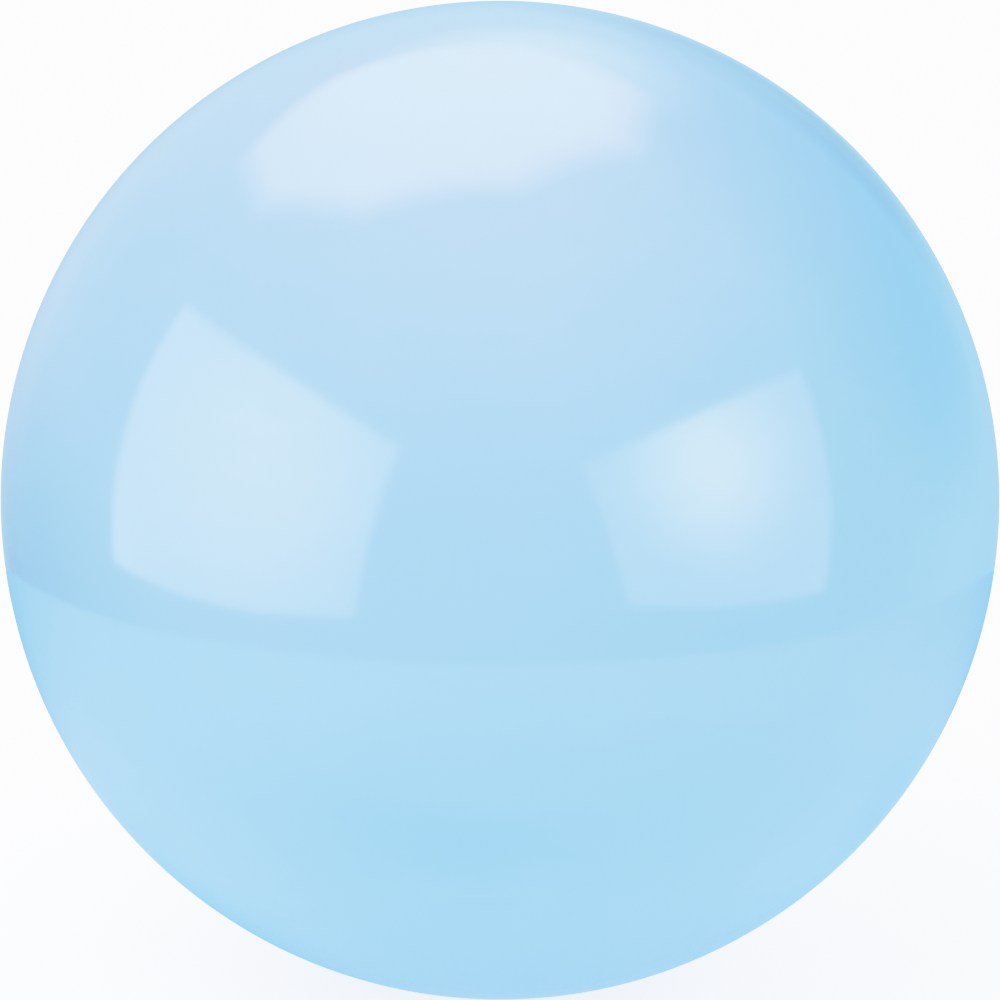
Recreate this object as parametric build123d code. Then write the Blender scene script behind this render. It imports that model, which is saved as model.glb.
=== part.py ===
"""Cored croquet ball of regulation size, in millimetres.

The origin is the ball's centre and +Z runs through the middle of the upper cover half.
A cork and rubber core sits in a hard moulded cover. The cover is two half shells, closed by a
tongue and groove on the XY plane and ground and polished to one smooth ball. Six spacer buttons
keep the core central while the bonding resin between core and cover sets.
"""

from build123d import *
import os

# Driving dimensions
ball_diameter = 92.075
cover_wall = 6.5
bond_gap = 1.0

# Tongue and groove that closes the cover
tongue_width = 2.4
tongue_height = 2.6
tongue_chamfer = 0.4
adhesive_side_gap = 0.15
adhesive_end_gap = 0.6
seam_relief = 0.8

# Spacer buttons, three to each cover half
spacers_per_half = 3
spacer_latitude = 35.26
spacer_head_radius = 4.0
spacer_stem_radius = 2.0
spacer_stem_length = 6.0
spacer_stem_chamfer = 0.4

# Moulding gate left inside the middle of each half shell
gate_radius = 3.0
gate_height = 0.6

# Derived dimensions
ball_radius = ball_diameter / 2
cover_inner_radius = ball_radius - cover_wall
core_radius = cover_inner_radius - bond_gap
tongue_inner_radius = (ball_radius + cover_inner_radius - tongue_width) / 2
tongue_outer_radius = tongue_inner_radius + tongue_width
groove_inner_radius = tongue_inner_radius - adhesive_side_gap
groove_outer_radius = tongue_outer_radius + adhesive_side_gap
groove_depth = tongue_height + adhesive_end_gap

ON_SEAM = (Align.CENTER, Align.CENTER, Align.MIN)


def ring(inner_radius, outer_radius, height):
    """A square-edged ring standing on the seam plane."""
    return Cylinder(outer_radius, height, align=ON_SEAM) - Cylinder(inner_radius, height, align=ON_SEAM)


def tongue():
    """The ring on the lower half, with both top edges eased so that it finds the groove."""
    plain = ring(tongue_inner_radius, tongue_outer_radius, tongue_height)
    top_edges = plain.edges().group_by(Axis.Z)[-1]
    return chamfer(top_edges, tongue_chamfer)


def groove():
    """The space in the upper half that the tongue and its adhesive fill."""
    return ring(groove_inner_radius, groove_outer_radius, groove_depth)


def relief_cone():
    """The bevel round the inner edge of an upper half shell, where spare resin collects."""
    return Cone(
        cover_inner_radius + seam_relief,
        cover_inner_radius - seam_relief,
        2 * seam_relief,
        align=ON_SEAM,
    )


def gate_pad():
    """The flat pad inside the upper pole, where the moulding gate was cut off."""
    pad_bottom = cover_inner_radius - gate_height
    return Pos(Z=pad_bottom) * Cylinder(gate_radius, cover_wall / 2, align=ON_SEAM)


def plain_half_shell():
    """The upper half of the cover before its groove or tongue is added."""
    dome = Sphere(ball_radius, arc_size1=0, arc_size2=90, align=ON_SEAM)
    return dome - Sphere(cover_inner_radius) - relief_cone() + gate_pad()


def downward(shape):
    """The shape turned half way round the X axis, from the upper half of the ball to the lower."""
    return Rot(X=180) * shape


def spacer_directions():
    """A rotation from +Z to each spacer's own radial line, upper half first."""
    step = 360 / spacers_per_half
    upper = [Rot(Z=step * i) * Rot(Y=90 - spacer_latitude) for i in range(spacers_per_half)]
    lower = [Rot(Z=step * (i + 0.5)) * Rot(Y=90 + spacer_latitude) for i in range(spacers_per_half)]
    return upper + lower


def spacer_head():
    """The disc that fills the gap between core and cover, before its curved faces are cut."""
    start = core_radius - bond_gap
    return Pos(Z=start) * Cylinder(spacer_head_radius, 3 * bond_gap, align=ON_SEAM)


def spacer_stem():
    """The peg that a spacer stands on, with its inner end eased."""
    stem = Cylinder(spacer_stem_radius, spacer_stem_length + bond_gap / 2, align=ON_SEAM)
    stem = chamfer(stem.edges().group_by(Axis.Z)[0], spacer_stem_chamfer)
    return Pos(Z=core_radius - spacer_stem_length) * stem


def core_spacer(direction):
    """One mushroom-shaped button: a stem in the core and a head as thick as the bond gap."""
    head = spacer_head() - Sphere(core_radius)
    head = head & Sphere(cover_inner_radius)
    return direction * (head + spacer_stem())


def core():
    """The solid centre, with a socket for each spacer's stem."""
    centre = Sphere(core_radius)
    for direction in spacer_directions():
        centre -= direction * spacer_stem()
    return centre


def bond_layer():
    """The resin between core and cover, open at the spacer heads and ridged into the seam relief."""
    layer = Sphere(cover_inner_radius) + relief_cone() + downward(relief_cone())
    layer -= Sphere(core_radius)
    layer -= gate_pad()
    layer -= downward(gate_pad())
    for direction in spacer_directions():
        layer -= direction * spacer_head()
    return layer


def seam_adhesive():
    """The adhesive that fills the groove over and beside the tongue."""
    return groove() - tongue()


def parts():
    """Every piece of the ball by its node name."""
    found = {
        "upper_cover": plain_half_shell() - groove(),
        "lower_cover": downward(plain_half_shell()) + tongue(),
        "seam_adhesive": seam_adhesive(),
        "bond_layer": bond_layer(),
        "core": core(),
    }
    for number, direction in enumerate(spacer_directions(), start=1):
        found[f"core_spacer_{number}"] = core_spacer(direction)
    return found


os.makedirs("parts", exist_ok=True)
for node, shape in parts().items():
    shape.label = node
    export_step(shape, f"parts/{node}.step")
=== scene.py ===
"""Looks and studio for the cored croquet ball.

Everything is in metres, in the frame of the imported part: the ball's centre is the origin and its
two cover halves meet on the XY plane. The cover halves are rebuilt here as finer meshes with a
hand-polished surface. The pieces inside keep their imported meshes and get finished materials.
The studio is a pale floor, three softboxes and the soft brightness of the room round them.
"""

import math

import bmesh
import bpy
import numpy as np
from mathutils import Matrix, Vector


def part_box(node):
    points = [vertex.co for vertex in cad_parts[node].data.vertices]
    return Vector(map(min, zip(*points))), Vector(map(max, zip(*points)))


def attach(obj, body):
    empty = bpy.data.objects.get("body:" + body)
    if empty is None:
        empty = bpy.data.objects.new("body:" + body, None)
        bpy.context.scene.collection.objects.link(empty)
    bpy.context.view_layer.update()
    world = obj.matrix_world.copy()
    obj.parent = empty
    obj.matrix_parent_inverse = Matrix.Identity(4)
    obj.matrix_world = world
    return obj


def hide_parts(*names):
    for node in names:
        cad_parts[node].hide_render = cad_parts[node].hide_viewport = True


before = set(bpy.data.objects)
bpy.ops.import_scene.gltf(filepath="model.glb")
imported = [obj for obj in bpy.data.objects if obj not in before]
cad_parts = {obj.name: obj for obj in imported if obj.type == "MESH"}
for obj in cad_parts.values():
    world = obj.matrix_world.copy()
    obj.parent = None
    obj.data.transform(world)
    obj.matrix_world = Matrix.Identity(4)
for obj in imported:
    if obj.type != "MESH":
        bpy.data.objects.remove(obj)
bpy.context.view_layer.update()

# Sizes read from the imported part
BALL_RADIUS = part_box("upper_cover")[1].z
TONGUE_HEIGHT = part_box("lower_cover")[1].z
GROOVE_OUTER_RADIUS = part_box("seam_adhesive")[1].x
GROOVE_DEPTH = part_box("seam_adhesive")[1].z

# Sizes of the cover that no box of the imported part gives
COVER_WALL = 0.0065
TONGUE_WIDTH = 0.0024
TONGUE_CHAMFER = 0.0004
ADHESIVE_SIDE_GAP = 0.00015
SEAM_RELIEF = 0.0008
GATE_RADIUS = 0.003
GATE_HEIGHT = 0.0006
COVER_INNER_RADIUS = BALL_RADIUS - COVER_WALL
TONGUE_OUTER_RADIUS = GROOVE_OUTER_RADIUS - ADHESIVE_SIDE_GAP
TONGUE_INNER_RADIUS = TONGUE_OUTER_RADIUS - TONGUE_WIDTH
GROOVE_INNER_RADIUS = TONGUE_INNER_RADIUS - ADHESIVE_SIDE_GAP

# Fineness of the cover meshes
CELLS_PER_QUARTER = 72
INNER_ARC_STEPS = 40
WELD_DISTANCE = 1e-7

# Waviness that hand polishing leaves in the surface
POLISH_SEED = 7
POLISH_WAVES = 14
POLISH_WAVELENGTHS = (0.012, 0.034)
POLISH_SLOPE = 0.0020


# ---------------------------------------------------------------- cover meshes


class PolishedSurface:
    """A ball's outside with a few shallow waves in it, never outside its nominal radius."""

    def __init__(self, radius):
        draw = np.random.default_rng(POLISH_SEED)
        headings = draw.normal(size=(POLISH_WAVES, 3))
        headings /= np.linalg.norm(headings, axis=1)[:, None]
        wavelengths = draw.uniform(*POLISH_WAVELENGTHS, size=POLISH_WAVES)
        self.wave_vectors = headings * (2 * math.pi / wavelengths)[:, None]
        self.phases = draw.uniform(0, 2 * math.pi, size=POLISH_WAVES)
        steepness = POLISH_SLOPE * math.sqrt(2 / POLISH_WAVES)
        self.heights = steepness * wavelengths / (2 * math.pi)
        self.radius = radius

    def point_and_normal(self, direction):
        """Where the surface lies in a unit direction from the centre, and which way it faces."""
        turns = self.wave_vectors @ (direction * self.radius) + self.phases
        height = np.sum(self.heights * (np.cos(turns) - 1))
        gradient = -(self.heights * np.sin(turns)) @ self.wave_vectors
        gradient -= (gradient @ direction) * direction
        normal = direction - gradient
        return direction * (self.radius + height), normal / np.linalg.norm(normal)


class ShellMesh:
    """Collects a closed mesh from faces whose corners are (point, normal) pairs, and welds it."""

    def __init__(self):
        self.points = []
        self.numbers = {}
        self.faces = []
        self.normals = []

    def number(self, point):
        """The welded vertex at a point, made if it is new."""
        key = tuple(int(round(c / WELD_DISTANCE)) for c in point)
        if key not in self.numbers:
            self.numbers[key] = len(self.points)
            self.points.append(tuple(point))
        return self.numbers[key]

    def add_face(self, corners):
        """Adds one face, wound to look the way its normals point. Corners that weld are dropped."""
        ids = []
        normals = []
        for point, normal in corners:
            vertex = self.number(point)
            if vertex not in ids:
                ids.append(vertex)
                normals.append(normal)
        a, b, c = (np.array(self.points[i]) for i in ids[:3])
        if np.cross(b - a, c - b) @ np.sum(normals, axis=0) < 0:
            ids.reverse()
            normals.reverse()
        self.faces.append(ids)
        self.normals.extend(normals)

    def to_object(self, name):
        """The finished mesh as a Blender object that shades with its own exact normals."""
        mesh = bpy.data.meshes.new(name)
        mesh.from_pydata(self.points, [], self.faces)
        mesh.polygons.foreach_set("use_smooth", [True] * len(mesh.polygons))
        mesh.normals_split_custom_set([tuple(n) for n in self.normals])
        made = bpy.data.objects.new(name, mesh)
        bpy.context.scene.collection.objects.link(made)
        return made


def quarter_turn(vector, quarters):
    """A vector turned about Z by a number of quarter turns."""
    x, y, z = vector
    for _ in range(quarters):
        x, y = -y, x
    return np.array((x, y, z))


def dome_patches():
    """Grids of unit directions that cover the upper half of a sphere with even squares.

    One square patch sits over the pole and four half patches stand round it on the equator.
    """
    side = np.tan(np.radians(np.linspace(-45, 45, CELLS_PER_QUARTER + 1)))
    climb = side[CELLS_PER_QUARTER // 2 :]
    patches = [[[np.array((x, y, 1.0)) for x in side] for y in side]]
    for quarters in range(4):
        patches.append([[quarter_turn((1.0, y, z), quarters) for y in side] for z in climb])
    return [[[v / np.linalg.norm(v) for v in row] for row in patch] for patch in patches]


def add_outer_dome(shell, surface, flip):
    """Covers the outside of one half with the polished surface."""
    for patch in dome_patches():
        corners = [[surface.point_and_normal(v * flip) for v in row] for row in patch]
        for lower, upper in zip(corners, corners[1:]):
            for i in range(len(lower) - 1):
                shell.add_face([lower[i], lower[i + 1], upper[i + 1], upper[i]])


def straight_run(places):
    """Profile strips through (radius, height) places, each facing left of its direction."""
    strips = []
    for (r0, z0), (r1, z1) in zip(places, places[1:]):
        length = math.hypot(r1 - r0, z1 - z0)
        facing = ((z0 - z1) / length, (r1 - r0) / length)
        strips.append(((r0, z0), facing, (r1, z1), facing))
    return strips


def inner_arc(start_angle, end_angle):
    """Profile strips up the inside of the shell, facing the ball's centre."""
    angles = np.linspace(start_angle, end_angle, INNER_ARC_STEPS + 1)
    strips = []
    for a, b in zip(angles, angles[1:]):
        start = (math.cos(a), math.sin(a))
        end = (math.cos(b), math.sin(b))
        place = [tuple(COVER_INNER_RADIUS * c for c in p) for p in (start, end)]
        facing = [tuple(-c for c in p) for p in (start, end)]
        strips.append((place[0], facing[0], place[1], facing[1]))
    return strips


def groove_profile():
    """The joint face of the upper half from outside to inside: a square groove."""
    return [
        (GROOVE_OUTER_RADIUS, 0.0),
        (GROOVE_OUTER_RADIUS, GROOVE_DEPTH),
        (GROOVE_INNER_RADIUS, GROOVE_DEPTH),
        (GROOVE_INNER_RADIUS, 0.0),
    ]


def tongue_profile():
    """The joint face of the lower half, seen upside down: a tongue with both edges eased."""
    shoulder = TONGUE_CHAMFER - TONGUE_HEIGHT
    return [
        (TONGUE_OUTER_RADIUS, 0.0),
        (TONGUE_OUTER_RADIUS, shoulder),
        (TONGUE_OUTER_RADIUS - TONGUE_CHAMFER, -TONGUE_HEIGHT),
        (TONGUE_INNER_RADIUS + TONGUE_CHAMFER, -TONGUE_HEIGHT),
        (TONGUE_INNER_RADIUS, shoulder),
        (TONGUE_INNER_RADIUS, 0.0),
    ]


def relief_top():
    """The angle above the seam at which the relief bevel meets the inside of the shell."""
    edge = COVER_INNER_RADIUS + SEAM_RELIEF
    return math.pi / 4 - math.acos(edge / math.sqrt(2) / COVER_INNER_RADIUS)


def inside_profile(joint):
    """All profile strips of one half from the joint face to the gate pad on the axis."""
    relief_edge = (COVER_INNER_RADIUS + SEAM_RELIEF, 0.0)
    low = relief_top()
    high = math.acos(GATE_RADIUS / COVER_INNER_RADIUS)
    arc_start = (COVER_INNER_RADIUS * math.cos(low), COVER_INNER_RADIUS * math.sin(low))
    arc_end = (GATE_RADIUS, COVER_INNER_RADIUS * math.sin(high))
    pad = COVER_INNER_RADIUS - GATE_HEIGHT
    strips = straight_run([(BALL_RADIUS, 0.0), *joint, relief_edge, arc_start])
    strips += inner_arc(low, high)
    strips += straight_run([arc_end, (GATE_RADIUS, pad), (0.0, pad)])
    return strips


def add_revolved(shell, strips, surface, flip):
    """Turns the profile round the axis. Its first edge is the rim of the polished surface."""
    spokes = 4 * CELLS_PER_QUARTER
    turns = [2 * math.pi * i / spokes for i in range(spokes)]
    rims = [np.array((math.cos(t), math.sin(t), 0.0)) for t in turns]
    edges = [surface.point_and_normal(rim)[0] for rim in rims]
    up = np.array((0.0, 0.0, flip))
    for i in range(spokes):
        pair = (i, (i + 1) % spokes)
        for number, (start, start_facing, end, end_facing) in enumerate(strips):
            corners = []
            for k, (r, z), (nr, nz) in (
                (pair[0], start, start_facing),
                (pair[1], start, start_facing),
                (pair[1], end, end_facing),
                (pair[0], end, end_facing),
            ):
                on_rim = number == 0 and (r, z) == start
                point = edges[k] if on_rim else rims[k] * r + up * z
                corners.append((point, rims[k] * nr + up * nz))
            shell.add_face(corners)


def cover_half(name, joint, flip):
    """One closed half shell. flip is 1 for the upper half and -1 for the lower one."""
    mirror = np.array((1.0, 1.0, flip))
    surface = PolishedSurface(BALL_RADIUS)
    shell = ShellMesh()
    add_outer_dome(shell, surface, mirror)
    add_revolved(shell, inside_profile(joint), surface, flip)
    return shell.to_object(name)


# ------------------------------------------------------------------- materials


class Finish:
    """A material with its Principled shader, and short ways to add the nodes that feed it."""

    def __init__(self, name, **constants):
        self.material = bpy.data.materials.new(name)
        self.material.use_nodes = True
        self.tree = self.material.node_tree
        self.shader = self.tree.nodes["Principled BSDF"]
        self.place = self.node("ShaderNodeTexCoord").outputs["Object"]
        for socket, value in constants.items():
            self.shader.inputs[socket.replace("_", " ")].default_value = value

    def node(self, kind, **settings):
        made = self.tree.nodes.new(kind)
        for key, value in settings.items():
            setattr(made, key, value)
        return made

    def link(self, source, target):
        self.tree.links.new(source, target)

    def clouds(self, size, detail=3.0, roughness=0.5, stretch=(1.0, 1.0, 1.0)):
        """Soft noise from 0 to 1 whose patches are about size metres across.

        It is squeezed along each axis as many times as stretch says.
        """
        stretched = self.node("ShaderNodeMapping")
        stretched.inputs["Scale"].default_value = stretch
        noise = self.node("ShaderNodeTexNoise")
        noise.inputs["Scale"].default_value = 1 / size
        noise.inputs["Detail"].default_value = detail
        noise.inputs["Roughness"].default_value = roughness
        self.link(self.place, stretched.inputs["Vector"])
        self.link(stretched.outputs["Vector"], noise.inputs["Vector"])
        return noise.outputs["Fac"]

    def jostled(self, size, reach):
        """Places on the piece, pushed about by up to reach metres in patches of size metres."""
        noise = self.node("ShaderNodeTexNoise")
        noise.inputs["Scale"].default_value = 1 / size
        self.link(self.place, noise.inputs["Vector"])
        pushed = self.node("ShaderNodeVectorMath", operation="MULTIPLY_ADD")
        pushed.inputs[1].default_value = (2 * reach,) * 3
        self.link(noise.outputs["Color"], pushed.inputs[0])
        self.link(self.place, pushed.inputs[2])
        return pushed.outputs["Vector"]

    def cells(self, size, feature="F1", place=None):
        """A cell pattern with cells about size metres across. The node gives distance and colour."""
        voronoi = self.node("ShaderNodeTexVoronoi", feature=feature)
        voronoi.inputs["Scale"].default_value = 1 / size
        self.link(place or self.place, voronoi.inputs["Vector"])
        return voronoi

    def remap(self, value, source, target=(0.0, 1.0)):
        """A value carried smoothly from one range to another, and held at its ends beyond them."""
        mapped = self.node("ShaderNodeMapRange", interpolation_type="SMOOTHSTEP")
        sockets = ("From Min", "From Max", "To Min", "To Max")
        for socket, number in zip(sockets, (*source, *target)):
            mapped.inputs[socket].default_value = number
        self.link(value, mapped.inputs["Value"])
        return mapped.outputs["Result"]

    def between(self, share, first, last):
        """A number that goes from first to last as a share goes from 0 to 1."""
        return self.remap(share, (0.0, 1.0), (first, last))

    def mix(self, share, first, second):
        """A colour between first and second, each of them a colour or another node's output."""
        mixed = self.node("ShaderNodeMix", data_type="RGBA")
        self.link(share, mixed.inputs["Factor"])
        for socket, colour in (("A", first), ("B", second)):
            found = [s for s in mixed.inputs if s.name == socket and s.type == "RGBA"][0]
            if isinstance(colour, tuple):
                found.default_value = (*colour, 1.0)
            else:
                self.link(colour, found)
        return [s for s in mixed.outputs if s.type == "RGBA"][0]

    def math(self, operation, first, second):
        """Arithmetic on two values, each of them a number or another node's output."""
        made = self.node("ShaderNodeMath", operation=operation)
        for socket, value in zip(made.inputs, (first, second)):
            if isinstance(value, (int, float)):
                socket.default_value = value
            else:
                self.link(value, socket)
        return made.outputs["Value"]

    def distance(self, point, unit=(1.0, 1.0, 1.0)):
        """How far a place on the piece is from a point of it, in units that may differ by axis."""
        gap = self.node("ShaderNodeVectorMath", operation="SUBTRACT")
        gap.inputs[1].default_value = point
        self.link(self.place, gap.inputs[0])
        scaled = self.node("ShaderNodeVectorMath", operation="DIVIDE")
        scaled.inputs[1].default_value = unit
        self.link(gap.outputs["Vector"], scaled.inputs[0])
        length = self.node("ShaderNodeVectorMath", operation="LENGTH")
        self.link(scaled.outputs["Vector"], length.inputs[0])
        return length.outputs["Value"]

    def heading(self):
        """The unit vector from the piece's origin to a place on it."""
        unit = self.node("ShaderNodeVectorMath", operation="NORMALIZE")
        self.link(self.place, unit.inputs[0])
        return unit.outputs["Vector"]

    def along(self, vector, axis):
        """How far a vector reaches along an axis."""
        dot = self.node("ShaderNodeVectorMath", operation="DOT_PRODUCT")
        dot.inputs[1].default_value = axis
        self.link(vector, dot.inputs[0])
        return dot.outputs["Value"]

    def total(self, base, terms):
        """A base, a colour or another node's output, plus each term's colour times its value."""
        colour = base
        for value, tint in terms:
            added = self.node("ShaderNodeVectorMath", operation="MULTIPLY_ADD")
            added.inputs[1].default_value = tint
            self.link(value, added.inputs[0])
            if isinstance(colour, tuple):
                added.inputs[2].default_value = colour
            else:
                self.link(colour, added.inputs[2])
            colour = added.outputs["Vector"]
        return colour

    def relief(self, height, depth):
        """Bumps depth metres deep where height runs from 0 to 1."""
        bump = self.node("ShaderNodeBump")
        bump.inputs["Distance"].default_value = depth
        self.link(height, bump.inputs["Height"])
        return bump.outputs["Normal"]

    def feed(self, socket, source):
        self.link(source, self.shader.inputs[socket])


def dress(piece, finish):
    """Gives a piece one finish all over."""
    piece.data.materials.clear()
    piece.data.materials.append(finish.material)


# Most of a soft noise lies between these two values
MOST_NOISE = (0.3, 0.7)

# How much a value has to change to cross a line that should look sharp
SHARP_STEP = 0.01

COVER_BLUE = (0.283, 0.547, 0.879)
COVER_LIGHT_BLUE = (0.297, 0.558, 0.885)
COVER_DEEP_BLUE = (0.274, 0.539, 0.874)
COVER_SPECK_COLOUR = (0.80, 0.88, 0.93)
COVER_SPECK_STRENGTH = 0.35
COVER_FLOW_NOISE = (0.35, 0.7)
COVER_FLOW_STRENGTH = 0.35

CORK_GRANULE = 0.0034
CORK_CRUMB = 0.0013
CORK_CRUMB_SHARE = 0.44
CORK_DARK = (0.110, 0.045, 0.016)
CORK_LIGHT = (0.560, 0.310, 0.135)
CORK_PIT_COLOUR = (0.085, 0.034, 0.014)
CORK_PIT_NOISE = (0.48, 0.68)
CORK_PIT_STRENGTH = 0.8
CORK_EDGE_PATCH = 0.3
CORK_EDGE_WANDER = 0.22
CORK_EDGE = (-0.08, -0.02)
RUBBER_COLOUR = (0.022, 0.019, 0.017)

RESIN_DARK = (0.46, 0.25, 0.065)
RESIN_LIGHT = (0.62, 0.37, 0.12)
RESIN_BUBBLE_COLOUR = (0.75, 0.58, 0.30)

NYLON_DARK = (0.60, 0.57, 0.45)
NYLON_LIGHT = (0.68, 0.65, 0.54)

ADHESIVE_DARK = (0.34, 0.50, 0.56)
ADHESIVE_LIGHT = (0.46, 0.60, 0.64)
ADHESIVE_BUBBLE_COLOUR = (0.70, 0.80, 0.82)


def specks(finish, spacing, radius, share):
    """1 inside sparse round specks and 0 elsewhere. share is how many cells hold one."""
    cells = finish.cells(spacing)
    inside = finish.remap(cells.outputs["Distance"], (radius / spacing, 0.0))
    chosen = finish.remap(cells.outputs["Color"], (1 - share, 1 - share + SHARP_STEP))
    return finish.math("MULTIPLY", inside, chosen)


def polished_cover():
    """Pale blue cast polymer: cloudy in the mass, ground smooth, then polished to a soft mirror."""
    finish = Finish(
        "polished_pale_blue_cover",
        IOR=1.5,
        Coat_Weight=1.0,
        Coat_Roughness=0.07,
        Coat_IOR=1.5,
    )
    mass = finish.remap(finish.clouds(size=0.030, detail=2.0), MOST_NOISE)
    body = finish.mix(mass, COVER_BLUE, COVER_LIGHT_BLUE)
    streaks = finish.clouds(size=0.006, stretch=(1.0, 1.0, 2.6))
    flow = finish.remap(streaks, COVER_FLOW_NOISE, (0.0, COVER_FLOW_STRENGTH))
    body = finish.mix(flow, body, COVER_DEEP_BLUE)
    dots = specks(finish, spacing=0.0045, radius=0.00013, share=0.10)
    pale = finish.math("MULTIPLY", dots, COVER_SPECK_STRENGTH)
    finish.feed("Base Color", finish.mix(pale, body, COVER_SPECK_COLOUR))
    haze = finish.clouds(size=0.009, detail=4.0)
    finish.feed("Roughness", finish.remap(haze, MOST_NOISE, (0.09, 0.13)))
    peel = finish.clouds(size=0.0016, detail=2.0)
    finish.feed("Normal", finish.relief(peel, depth=2.0e-7))
    return finish


def cork_granules(finish, size, place):
    """Granules of one size: a random number for each, their browns, and the rubber between them."""
    granules = finish.cells(size, place=place).outputs["Color"]
    gaps = finish.cells(size, feature="DISTANCE_TO_EDGE", place=place).outputs["Distance"]
    wander = finish.math("MULTIPLY", finish.clouds(CORK_EDGE_PATCH * size), CORK_EDGE_WANDER)
    rubber = finish.remap(finish.math("SUBTRACT", gaps, wander), CORK_EDGE, (1.0, 0.0))
    return granules, finish.mix(granules, CORK_DARK, CORK_LIGHT), rubber


def cork_rubber():
    """Ragged cork granules of two sizes and many browns, pressed into dark rubber."""
    finish = Finish("cork_and_rubber", IOR=1.45, Specular_IOR_Level=0.3)
    ragged = finish.jostled(size=0.0012, reach=0.0012)
    numbers, tone, rubber = cork_granules(finish, CORK_GRANULE, ragged)
    _, crumb_tone, crumb_rubber = cork_granules(finish, CORK_CRUMB, ragged)
    limits = (CORK_CRUMB_SHARE, CORK_CRUMB_SHARE + SHARP_STEP)
    crumbs = finish.remap(numbers, limits, (1.0, 0.0))
    tone = finish.mix(crumbs, tone, crumb_tone)
    pits = finish.clouds(size=0.0006, detail=6.0, roughness=0.7)
    pitted = finish.remap(pits, CORK_PIT_NOISE, (0.0, CORK_PIT_STRENGTH))
    tone = finish.mix(pitted, tone, CORK_PIT_COLOUR)
    rubber = finish.math("MAXIMUM", rubber, finish.math("MULTIPLY", crumbs, crumb_rubber))
    finish.feed("Base Color", finish.mix(rubber, tone, RUBBER_COLOUR))
    finish.feed("Roughness", finish.between(rubber, 0.85, 0.60))
    pores = finish.clouds(size=0.0005, detail=5.0, roughness=0.65)
    height = finish.math("MULTIPLY", finish.math("SUBTRACT", 1.0, rubber), pores)
    finish.feed("Normal", finish.relief(height, depth=0.0002))
    return finish


def amber_resin():
    """Cast bonding resin: cloudy amber with trapped bubbles."""
    finish = Finish("bonding_resin", IOR=1.53, Subsurface_Weight=0.2, Subsurface_Scale=0.002)
    mass = finish.remap(finish.clouds(size=0.007, detail=5.0), MOST_NOISE)
    body = finish.mix(mass, RESIN_DARK, RESIN_LIGHT)
    bubbles = specks(finish, spacing=0.0022, radius=0.0004, share=0.35)
    finish.feed("Base Color", finish.mix(bubbles, body, RESIN_BUBBLE_COLOUR))
    finish.feed("Roughness", finish.between(mass, 0.28, 0.46))
    finish.feed("Normal", finish.relief(bubbles, depth=0.00008))
    return finish


def moulded_nylon():
    """Natural nylon of the spacer buttons, with flow lines and a fine spark-eroded grain."""
    finish = Finish("moulded_nylon", IOR=1.53, Subsurface_Weight=0.15, Subsurface_Scale=0.001)
    flow = finish.remap(finish.clouds(size=0.0012, stretch=(1.0, 1.0, 4.0)), MOST_NOISE)
    finish.feed("Base Color", finish.mix(flow, NYLON_DARK, NYLON_LIGHT))
    grain = finish.clouds(size=0.00012)
    finish.feed("Roughness", finish.remap(grain, MOST_NOISE, (0.42, 0.60)))
    finish.feed("Normal", finish.relief(grain, depth=0.000004))
    return finish


def clear_adhesive():
    """Set adhesive of the seam: glassy pale blue with fine bubbles and drawn-out streaks."""
    finish = Finish("seam_adhesive", IOR=1.50, Subsurface_Weight=0.25, Subsurface_Scale=0.001)
    streaks = finish.remap(finish.clouds(size=0.002, stretch=(1.0, 1.0, 5.0)), MOST_NOISE)
    body = finish.mix(streaks, ADHESIVE_DARK, ADHESIVE_LIGHT)
    bubbles = specks(finish, spacing=0.0011, radius=0.00018, share=0.4)
    finish.feed("Base Color", finish.mix(bubbles, body, ADHESIVE_BUBBLE_COLOUR))
    finish.feed("Roughness", finish.between(streaks, 0.12, 0.30))
    finish.feed("Normal", finish.relief(bubbles, depth=0.00003))
    return finish


# ---------------------------------------------------------------------- pieces


def build_covers():
    """Replaces both packed cover halves with the polished ones."""
    finish = polished_cover()
    halves = (
        ("polished_upper_cover", "upper_cover", groove_profile(), 1.0),
        ("polished_lower_cover", "lower_cover", tongue_profile(), -1.0),
    )
    for name, node, joint, flip in halves:
        half = cover_half(name, joint, flip)
        dress(half, finish)
        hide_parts(node)
        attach(half, "root")


def finish_inner_pieces():
    """Gives every piece inside the cover its own material, by the start of its node's name."""
    finishes = {
        "core_spacer": moulded_nylon(),
        "seam_adhesive": clear_adhesive(),
        "bond_layer": amber_resin(),
        "core": cork_rubber(),
    }
    for node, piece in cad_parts.items():
        fitting = [key for key in finishes if node.startswith(key)]
        if fitting:
            dress(piece, finishes[fitting[0]])


# ---------------------------------------------------------------------- studio

# The floor. Its glow is stronger where the camera sees it than where it lights the ball
FLOOR_HALF_WIDTH = 30.0
FLOOR_WHITE = (0.86, 0.86, 0.86)
FLOOR_COOL_WHITE = (0.8471, 0.8514, 0.86)
FLOOR_MOTTLE = 0.02
FLOOR_GLOW = 0.30
FLOOR_GLOW_SEEN = 0.95

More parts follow.
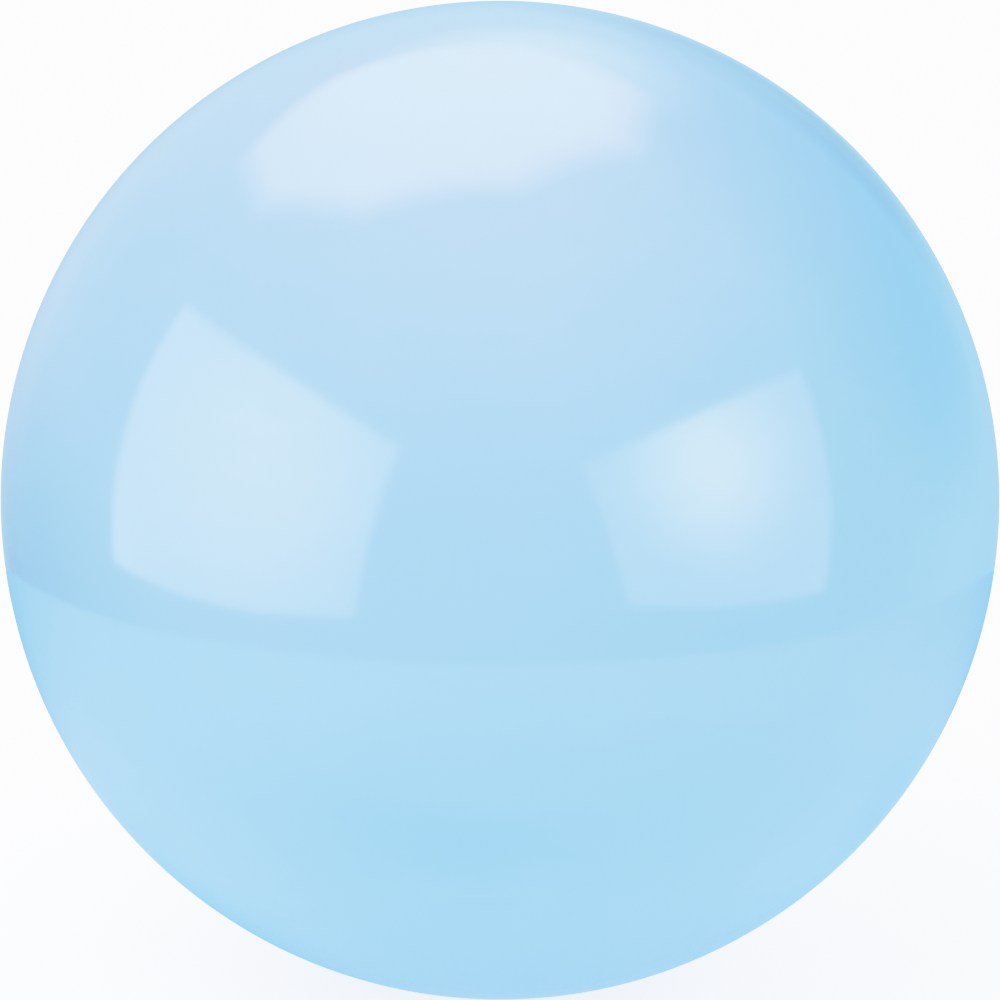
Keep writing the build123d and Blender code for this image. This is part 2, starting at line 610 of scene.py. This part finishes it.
# The table top in the ball's mirror is a glowing disc painted with light and shade: brighter ahead,
# dimmer behind and in the ball's edge, blue bounce light under the ball, and painted shadows of the
# ball. Colours here and below are brightnesses, and tints add to them.
# The colours behind and ahead started from a least-squares fit to the photograph
TABLE_RADIUS = 0.15
TABLE_LIFT = 0.0001
TABLE_SIDES = 96
TABLE_BALL_REACH = 0.12
# Painted bounce light: the table's glow turns blue under the ball
TABLE_UNDER_BALL = (0.70, 1.08, 1.60)
TABLE_BEHIND = (0.32, 0.63, 1.21)
TABLE_AHEAD = (1.51, 1.87, 2.20)
TABLE_GRAZING = (0.10, 0.60)
TABLE_GRAZING_SHARE = 0.40
# Painted shadows of the ball on the glowing table top: the contact shadow, a dark arc ahead, and
# shadows cast back right and back left. Each darkens the glow round its place, over its reach
TABLE_PAINTED_SHADOWS = (
    dict(place=(0.0, 0.004, 0.0), reach=(0.045, 0.045), tint=(-0.32, -0.36, -0.25)),
    dict(place=(-0.008, -0.051, 0.0), reach=(0.034, 0.014), tint=(-0.30, -0.28, -0.05)),
    dict(place=(0.042, 0.012, 0.0), reach=(0.050, 0.050), tint=(-0.21, -0.20, -0.10)),
    dict(place=(-0.030, 0.010, 0.0), reach=(0.040, 0.040), tint=(-0.23, -0.22, -0.16)),
)

# The room in the ball's mirror: an even colour, slow changes along three axes, and soft corners.
# These numbers come from least-squares fits to the photograph, made by scratch programs. The
# corners are such a fit's rounded result, with a few values nudged afterwards
ROOM_RADIUS = 6.0
ROOM_FINENESS = 4
ROOM_BASE = (0.96, 1.12, 1.44)
ROOM_RIGHT = (-0.11, 0.13, 0.32)
ROOM_AHEAD = (0.29, 0.10, 0.00)
ROOM_OVERHEAD = (1.43, 0.75, 0.50)
ROOM_CORNERS = (
    dict(azimuth=-126, elevation=-40, reach=48, tint=(-0.57, -0.62, -0.44)),
    dict(azimuth=131, elevation=24, reach=40, tint=(-0.39, -0.51, -0.23)),
    dict(azimuth=171, elevation=-28, reach=47, tint=(-0.22, -0.29, -0.29)),
    dict(azimuth=164, elevation=8, reach=16, tint=(-0.16, -0.28, -0.32)),
    dict(azimuth=174, elevation=45, reach=22, tint=(0.38, 0.63, 0.61)),
)

# The even light of the surroundings, and how much brighter the camera sees them
SKY_COLOUR = (0.96, 1.0, 1.07)
SKY_LIFT_SEEN = (0.81, 0.80, 0.80)

# The lamp that throws the shadow
LAMP_DIAMETER = 1.2
LAMP_POWER = 9.0
LAMP_AZIMUTH = -40.0
LAMP_ELEVATION = 60.0
LAMP_DISTANCE = 1.6

PANEL_DISTANCE = 1.0


def direction(azimuth, elevation):
    """A unit vector from the ball. Azimuth 0 is towards the camera and 90 is to its right."""
    a = math.radians(azimuth)
    e = math.radians(elevation)
    return Vector((math.sin(a) * math.cos(e), -math.cos(a) * math.cos(e), math.sin(e)))


def stage_mesh(name, points, material, faces=None):
    """A flat staged piece with one material: one polygon unless its faces are given."""
    mesh = bpy.data.meshes.new(name)
    mesh.from_pydata([tuple(p) for p in points], [], faces or [list(range(len(points)))])
    mesh.materials.append(material)
    made = bpy.data.objects.new(name, mesh)
    bpy.context.scene.collection.objects.link(made)
    return made


def seen_only_in_reflections(piece):
    """Hides a staged piece from everything except mirror-like reflections."""
    piece.visible_camera = False
    piece.visible_diffuse = False
    piece.visible_transmission = False
    piece.visible_volume_scatter = False
    piece.visible_shadow = False


def floor_material():
    """Matte pale acrylic, lit from below, and lifted to white where the camera sees it."""
    finish = Finish("pale_floor", Roughness=1.0, Specular_IOR_Level=0.0)
    mottle = finish.clouds(FLOOR_MOTTLE, detail=4.0)
    finish.feed("Base Color", finish.mix(mottle, FLOOR_COOL_WHITE, FLOOR_WHITE))
    finish.shader.inputs["Emission Color"].default_value = (1.0, 1.0, 1.0, 1.0)
    seen = finish.node("ShaderNodeLightPath").outputs["Is Camera Ray"]
    finish.feed("Emission Strength", finish.between(seen, FLOOR_GLOW, FLOOR_GLOW_SEEN))
    finish.material.cycles.emission_sampling = "NONE"
    return finish.material


def build_floor():
    """The pale floor, which no mirror-like reflection sees."""
    w = FLOOR_HALF_WIDTH
    height = -BALL_RADIUS
    corners = [(-w, -w, height), (w, -w, height), (w, w, height), (-w, w, height)]
    floor = stage_mesh("floor", corners, floor_material())
    floor.visible_glossy = False


def steepness(finish, limits, least=0.0):
    """Rises from least to 1 with the cosine at which a ray left the ball, between two limits.

    The cosine comes from the triangle of the ball's centre, the place the ray left and its end.
    """
    end = finish.node("ShaderNodeNewGeometry").outputs["Position"]
    far = finish.node("ShaderNodeVectorMath", operation="DOT_PRODUCT")
    for socket in far.inputs[:2]:
        finish.link(end, socket)
    ray = finish.node("ShaderNodeLightPath").outputs["Ray Length"]
    gap = finish.math("SUBTRACT", far.outputs["Value"], finish.math("MULTIPLY", ray, ray))
    excess = finish.math("SUBTRACT", gap, BALL_RADIUS * BALL_RADIUS)
    cosine = finish.math("DIVIDE", excess, finish.math("MULTIPLY", ray, 2 * BALL_RADIUS))
    return finish.remap(cosine, limits, (least, 1.0))


def glow(name, make_colour):
    """A material that only shines. make_colour is given the Finish and returns the colour."""
    finish = Finish(name, Specular_IOR_Level=0.0, Roughness=1.0)
    finish.shader.inputs["Base Color"].default_value = (0.0, 0.0, 0.0, 1.0)
    finish.shader.inputs["Emission Strength"].default_value = 1.0
    finish.feed("Emission Color", make_colour(finish))
    finish.material.cycles.emission_sampling = "NONE"
    return finish.material


def table_colour(finish):
    """Painted light and shade of the glowing table: blue bounce light from the ball beneath it, pale
    ahead of it, dim behind it or in the ball's edge, and painted shadows of the ball.
    """
    ahead = finish.remap(finish.along(finish.heading(), direction(0, 0)), (-1.0, 1.0))
    most = steepness(finish, TABLE_GRAZING, least=TABLE_GRAZING_SHARE)
    open_table = finish.mix(finish.math("MINIMUM", ahead, most), TABLE_BEHIND, TABLE_AHEAD)
    share = finish.remap(finish.distance((0.0, 0.0, 0.0)), (0.0, TABLE_BALL_REACH))
    lit = finish.mix(share, TABLE_UNDER_BALL, open_table)
    terms = []
    # Each painted shadow darkens the table's glow towards its place
    for shade in TABLE_PAINTED_SHADOWS:
        far = finish.distance(shade["place"], (*shade["reach"], 1.0))
        terms.append((finish.between(far, 1.0, 0.0), shade["tint"]))
    return finish.total(lit, terms)


def build_table_top():
    """The small round table top that the ball mirrors instead of the floor. It glows with painted
    light and painted shadows.
    """
    turns = [2 * math.pi * i / TABLE_SIDES for i in range(TABLE_SIDES)]
    rim = [(TABLE_RADIUS * math.cos(t), TABLE_RADIUS * math.sin(t), 0.0) for t in turns]
    table = stage_mesh("table_top", rim, glow("table_painted_light", table_colour))
    table.location.z = TABLE_LIFT - BALL_RADIUS
    seen_only_in_reflections(table)


def room_colour(finish):
    """Warmer and brighter ahead and overhead, bluer to the right, with soft corners of its own."""
    heading = finish.heading()
    up = finish.math("MAXIMUM", finish.along(heading, (0.0, 0.0, 1.0)), 0.0)
    terms = [
        (finish.along(heading, direction(90, 0)), ROOM_RIGHT),
        (finish.along(heading, direction(0, 0)), ROOM_AHEAD),
        (finish.math("MULTIPLY", up, up), ROOM_OVERHEAD),
    ]
    for corner in ROOM_CORNERS:
        towards = finish.along(heading, direction(corner["azimuth"], corner["elevation"]))
        edge = math.cos(math.radians(corner["reach"]))
        terms.append((finish.remap(towards, (edge, 1.0)), corner["tint"]))
    return finish.total(ROOM_BASE, terms)


def build_room():
    """A far shell that only mirror-like reflections see."""
    mesh = bpy.data.meshes.new("room")
    shell = bmesh.new()
    bmesh.ops.create_icosphere(shell, subdivisions=ROOM_FINENESS, radius=ROOM_RADIUS)
    shell.to_mesh(mesh)
    shell.free()
    mesh.materials.append(glow("room_brightness", room_colour))
    room = bpy.data.objects.new("room", mesh)
    bpy.context.scene.collection.objects.link(room)
    seen_only_in_reflections(room)


def panel_axes(azimuth, elevation, yaw, pitch, roll):
    """The width, height and outward axes of a panel that stands in a direction from the ball."""
    outward = direction(azimuth, elevation)
    side = Vector((math.cos(math.radians(azimuth)), math.sin(math.radians(azimuth)), 0.0))
    top = outward.cross(side)
    if top.z < 0:
        top.negate()
    cos_yaw, sin_yaw = math.cos(math.radians(yaw)), math.sin(math.radians(yaw))
    cos_pitch, sin_pitch = math.cos(math.radians(pitch)), math.sin(math.radians(pitch))
    cos_roll, sin_roll = math.cos(math.radians(roll)), math.sin(math.radians(roll))
    across = side * cos_yaw + outward * sin_yaw
    away = outward * cos_yaw - side * sin_yaw
    tall = top * cos_pitch + away * sin_pitch
    return (
        across * cos_roll + tall * sin_roll,
        tall * cos_roll - across * sin_roll,
        outward,
    )


def softbox(name, outline, fade, limits, stand, dim, bright, spot, reach):
    """A glowing panel that the ball mirrors.

    outline is in the panel's own width and height. The cloth is bright round the spot and falls
    to dim at reach from it. Its edge fades out over a share, fade, of the panel's size. It fades
    between the limits in the ball's very edge, which it would burn out when seen from behind.
    """

    def cloth(finish):
        share = finish.remap(finish.distance((*spot, 0.0)), (0.0, reach), (1.0, 0.0))
        cover = finish.node("ShaderNodeAttribute", attribute_name="cover").outputs["Fac"]
        finish.feed("Alpha", finish.math("MULTIPLY", cover, steepness(finish, limits)))
        return finish.mix(share, dim, bright)

    sides = len(outline)
    inside = [(u * (1 - fade), v * (1 - fade), 0.0) for u, v in outline]
    outside = [(u * (1 + fade), v * (1 + fade), 0.0) for u, v in outline]
    faces = [list(range(sides))]
    for i in range(sides):
        j = (i + 1) % sides
        faces.append([i, j, sides + j, sides + i])
    panel = stage_mesh(name, inside + outside, glow(name + "_cloth", cloth), faces)
    cover = panel.data.attributes.new("cover", "FLOAT", "POINT")
    cover.data.foreach_set("value", [1.0] * sides + [0.0] * sides)
    across, tall, outward = panel_axes(**stand)
    facing = across.cross(tall)
    axes = Matrix((across, tall, facing)).transposed().to_4x4()
    panel.matrix_world = Matrix.Translation(outward * PANEL_DISTANCE) @ axes
    seen_only_in_reflections(panel)


def rectangle(width, height):
    """The four corners of an upright rectangle about its middle."""
    return [
        (-width / 2, height / 2),
        (width / 2, height / 2),
        (width / 2, -height / 2),
        (-width / 2, -height / 2),
    ]


def regular_outline(sides, diameter):
    """The corners of a regular polygon about its middle."""
    turns = [2 * math.pi * i / sides for i in range(sides)]
    return [(diameter / 2 * math.cos(t), diameter / 2 * math.sin(t)) for t in turns]


def build_softboxes():
    """Two wide boxes in front, left and right, and an eight-sided one above and behind.

    Their places, sizes and brightnesses started from least-squares fits to the photograph.
    """
    softbox(
        "left_softbox",
        rectangle(1.38, 0.88),
        fade=0.035,
        limits=(0.36, 0.58),
        stand=dict(azimuth=-61.5, elevation=9, yaw=5, pitch=-6, roll=-3),
        dim=(2.36, 2.48, 3.40),
        bright=(3.53, 3.61, 3.65),
        spot=(0.12, 0.15),
        reach=0.85,
    )
    softbox(
        "right_softbox",
        rectangle(1.06, 0.74),
        fade=0.04,
        limits=(0.36, 0.58),
        stand=dict(azimuth=49, elevation=5.4, yaw=-14.5, pitch=-19.5, roll=-0.5),
        dim=(2.05, 2.35, 3.10),
        bright=(4.16, 4.58, 5.10),
        spot=(0.03, 0.20),
        reach=0.50,
    )
    softbox(
        "top_softbox",
        regular_outline(8, 1.13),
        fade=0.14,
        limits=(0.24, 0.40),
        stand=dict(azimuth=-161, elevation=57, yaw=-3, pitch=-29, roll=2),
        dim=(1.95, 2.04, 2.80),
        bright=(4.62, 4.10, 4.90),
        spot=(0.10, 0.75),
        reach=1.50,
    )


def build_lights():
    """Even light from everywhere, and one large soft lamp for a gentle shadow."""
    world = bpy.data.worlds.new("studio")
    bpy.context.scene.world = world
    world.use_nodes = True
    tree = world.node_tree
    seen = tree.nodes.new("ShaderNodeLightPath").outputs["Is Camera Ray"]
    colour = tree.nodes.new("ShaderNodeVectorMath")
    colour.operation = "MULTIPLY_ADD"
    tree.links.new(seen, colour.inputs[0])
    colour.inputs[1].default_value = SKY_LIFT_SEEN
    colour.inputs[2].default_value = SKY_COLOUR
    tree.links.new(colour.outputs["Vector"], tree.nodes["Background"].inputs["Color"])
    world.cycles_visibility.glossy = False

    lamp = bpy.data.lights.new("soft_lamp", "AREA")
    lamp.shape = "DISK"
    lamp.size = LAMP_DIAMETER
    lamp.energy = LAMP_POWER
    made = bpy.data.objects.new("soft_lamp", lamp)
    bpy.context.scene.collection.objects.link(made)
    heading = direction(LAMP_AZIMUTH, LAMP_ELEVATION)
    made.location = heading * LAMP_DISTANCE
    made.rotation_mode = "QUATERNION"
    made.rotation_quaternion = heading.to_track_quat("Z", "Y")
    made.visible_glossy = False


# The camera, whose lens and sensor are in millimetres
CAMERA_ELEVATION = 15.0
CAMERA_LENS = 300.0
CAMERA_SENSOR = 36.0


def build_camera():
    """A long lens at the height that fills the frame with the ball from edge to edge."""
    data = bpy.data.cameras.new("camera")
    data.lens = CAMERA_LENS
    data.sensor_width = CAMERA_SENSOR
    half_angle = math.atan(CAMERA_SENSOR / 2 / CAMERA_LENS)
    heading = direction(0, CAMERA_ELEVATION)
    camera = bpy.data.objects.new("camera", data)
    bpy.context.scene.collection.objects.link(camera)
    camera.location = heading * (BALL_RADIUS / math.sin(half_angle))
    camera.rotation_mode = "QUATERNION"
    camera.rotation_quaternion = heading.to_track_quat("Z", "Y")
    bpy.context.scene.camera = camera


# The tone curve: the brightness shown as white, the end of its straight stretch, and the
# brightness and shown value of each point of its shoulder
TONE_WHITE = 2.4
TONE_STRAIGHT_TO = 0.65
TONE_SHOULDER = ((0.85, 0.744), (1.05, 0.833), (1.20, 0.885), (1.56, 0.94))
COMBINED_CURVE = 3


def set_tone():
    """A photographic shoulder: true up to mid tones, then a slow roll to white."""
    view = bpy.context.scene.view_settings
    view.view_transform = "Standard"
    view.look = "None"
    view.use_curve_mapping = True
    mapping = view.curve_mapping
    mapping.white_level = (TONE_WHITE,) * 3
    curve = mapping.curves[COMBINED_CURVE]
    knee = curve.points.new(TONE_STRAIGHT_TO / TONE_WHITE, TONE_STRAIGHT_TO)
    knee.handle_type = "VECTOR"
    for level, shown in TONE_SHOULDER:
        curve.points.new(level / TONE_WHITE, shown)
    curve.points[0].handle_type = "VECTOR"
    mapping.update()


build_covers()
finish_inner_pieces()
build_floor()
build_table_top()
build_room()
build_softboxes()
build_lights()
build_camera()
set_tone()
